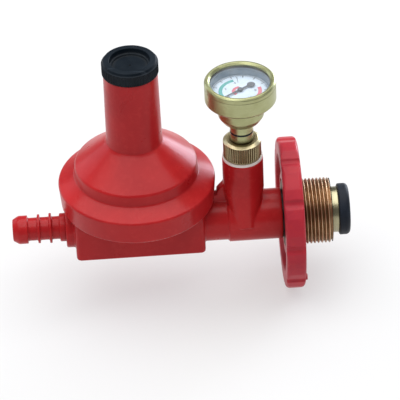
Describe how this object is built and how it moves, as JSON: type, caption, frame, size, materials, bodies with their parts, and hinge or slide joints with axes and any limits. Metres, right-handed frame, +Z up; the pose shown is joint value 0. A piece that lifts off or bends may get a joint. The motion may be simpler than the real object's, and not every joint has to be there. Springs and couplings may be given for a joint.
{
  "type": "gas pressure regulator",
  "caption": "Low-pressure gas regulator: round diaphragm housing with spring tower, dial gauge, handwheel inlet with soft nose, and barbed hose outlet.",
  "frame": {"origin": "centre of the outer end of the male inlet thread, on the inlet axis", "axes": "+X out of the inlet along the axis of thread, pipe and hose barb; +Z up along the spring tower; -Y is the side that faces a viewer with the inlet on the right"},
  "size_m": [0.1386, 0.0638, 0.1115],
  "materials": {
    "red_paint": "semi-gloss red enamel over die casting",
    "thread_brass": "machined thread, slightly tarnished",
    "turned_brass": "fine turned and polished",
    "sintered_brass": "porous, sintered",
    "black_rubber": "matt",
    "diaphragm_rubber": "fabric-reinforced, matt",
    "black_plastic": "moulded, satin",
    "white_washer": "smooth",
    "grey_plastic": "smooth",
    "dial_print": "printed, satin",
    "pointer_black": "matt black",
    "plated_steel": "zinc plated",
    "spring_steel": "oiled wire",
    "clear_lens": "polished"
  },
  "bodies": {
    "regulator_body": {"lower_body": "red_paint", "bonnet": "red_paint", "hose_barb": "red_paint", "inlet_nipple": "turned_brass", "nose_seal": "black_rubber", "thrust_washer": "plated_steel", "inlet_filter": "sintered_brass", "nipple_oring": "black_rubber", "seat_nozzle": "turned_brass", "diaphragm": "diaphragm_rubber", "lever_pin": "plated_steel", "main_spring": "spring_steel", "gauge_washer": "white_washer", "gauge_nut": "turned_brass", "gauge_oring": "black_rubber"},
    "coupling": {"handwheel": "red_paint", "threaded_sleeve": "thread_brass"},
    "diaphragm_stack": {"diaphragm_plate": "plated_steel", "diaphragm_washer": "plated_steel", "diaphragm_stem": "turned_brass", "stem_nut": "plated_steel"},
    "lever": {"lever": "plated_steel"},
    "valve": {"valve_holder": "turned_brass", "valve_pad": "black_rubber"},
    "spring_button": {"spring_seat": "black_plastic"},
    "adjuster": {"adjusting_cap": "black_plastic"},
    "gauge": {"gauge_stem": "turned_brass", "neck_ring": "black_rubber", "gauge_case": "turned_brass", "bezel_ring": "turned_brass", "gauge_lens": "clear_lens", "dial_spacer": "grey_plastic", "dial": "dial_print", "movement_plate": "turned_brass", "bourdon_tube": "turned_brass"},
    "pointer": {"pointer": "pointer_black", "pointer_spindle": "plated_steel"}
  },
  "joints": [
    {"name": "handwheel_spin", "type": "hinge", "parent": "regulator_body", "child": "coupling", "pos_m": [0, 0, 0], "axis": [1, 0, 0], "continuous": true},
    {"name": "cap_lift", "type": "slide", "parent": "regulator_body", "child": "spring_button", "axis": [0, 0, 1], "range_m": [0, 0.003], "deforming": ["main_spring"]},
    {"name": "cap_turn", "type": "hinge", "parent": "spring_button", "child": "adjuster", "pos_m": [-0.079, 0, 0.07], "axis": [0, 0, 1], "range_deg": [0, 720]},
    {"name": "diaphragm_travel", "type": "slide", "parent": "regulator_body", "child": "diaphragm_stack", "axis": [0, 0, 1], "range_m": [0, 0.0024], "stiffness_N_per_m": 300, "springref_m": -0.002, "deforming": ["diaphragm"]},
    {"name": "lever_swing", "type": "hinge", "parent": "regulator_body", "child": "lever", "pos_m": [-0.094, 0, 0.005], "axis": [0, 1, 0], "range_deg": [-9.2, 0]},
    {"name": "valve_slide", "type": "slide", "parent": "regulator_body", "child": "valve", "axis": [1, 0, 0], "range_m": [0, 0.0008]},
    {"name": "gauge_swivel", "type": "hinge", "parent": "regulator_body", "child": "gauge", "pos_m": [-0.0356, 0, 0.04], "axis": [0, 0, 1], "continuous": true},
    {"name": "needle_turn", "type": "hinge", "parent": "gauge", "child": "pointer", "pos_m": [-0.0356, 0, 0.0626], "axis": [0, 0, 1], "range_deg": [-270, 0]}
  ],
  "couplings": [
    {"joint": "cap_turn", "follows": "cap_lift", "rad_per_m": 4188.8},
    {"joint": "lever_swing", "follows": "diaphragm_travel", "rad_per_m": -66.667},
    {"joint": "valve_slide", "follows": "diaphragm_travel", "ratio": 0.33333}
  ]
}
